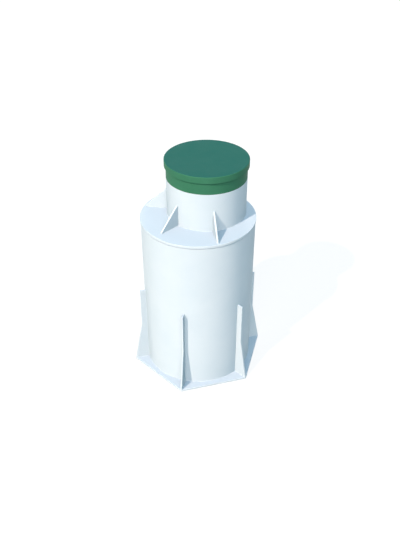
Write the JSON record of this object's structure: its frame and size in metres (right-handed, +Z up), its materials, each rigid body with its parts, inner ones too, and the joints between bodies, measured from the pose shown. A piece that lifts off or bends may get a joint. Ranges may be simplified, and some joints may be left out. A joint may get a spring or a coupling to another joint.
{
  "type": "well caisson",
  "caption": "Upright round sheet-plastic caisson on a ribbed hexagonal base, with a braced off-centre neck and a lift-off lid, to house a well head below ground.",
  "frame": {"origin": "centre of the hexagonal base plate's underside, on the round body's axis", "axes": "+Z up along the body; +Y towards the side that the neck is set off to, so the gussets face -Y"},
  "size_m": [1.2644, 1.095, 2.048],
  "materials": {
    "white_sheet": "satin",
    "green_sheet": "satin"
  },
  "bodies": {
    "caisson": {"base_plate": "white_sheet", "casing_sleeve": "white_sheet", "gusset_front": "white_sheet", "gusset_front_left": "white_sheet", "gusset_front_right": "white_sheet", "neck_back": "white_sheet", "neck_back_left": "white_sheet", "neck_back_right": "white_sheet", "neck_collar": "white_sheet", "neck_front": "white_sheet", "neck_front_left": "white_sheet", "neck_front_right": "white_sheet", "rib_back_left": "white_sheet", "rib_back_right": "white_sheet", "rib_front_left": "white_sheet", "rib_front_right": "white_sheet", "rib_left": "white_sheet", "rib_right": "white_sheet", "top_plate": "white_sheet", "wall_back": "white_sheet", "wall_back_left": "white_sheet", "wall_back_right": "white_sheet", "wall_front": "white_sheet", "wall_front_left": "white_sheet", "wall_front_right": "white_sheet"},
    "lid": {"lid_band": "green_sheet", "lid_bottom_panel": "green_sheet", "lid_skirt": "green_sheet", "lid_top_panel": "green_sheet"}
  },
  "joints": [
    {"name": "lid_lift", "type": "slide", "parent": "caisson", "child": "lid", "axis": [0, 0, 1], "range_m": [0, 0.5]}
  ]
}
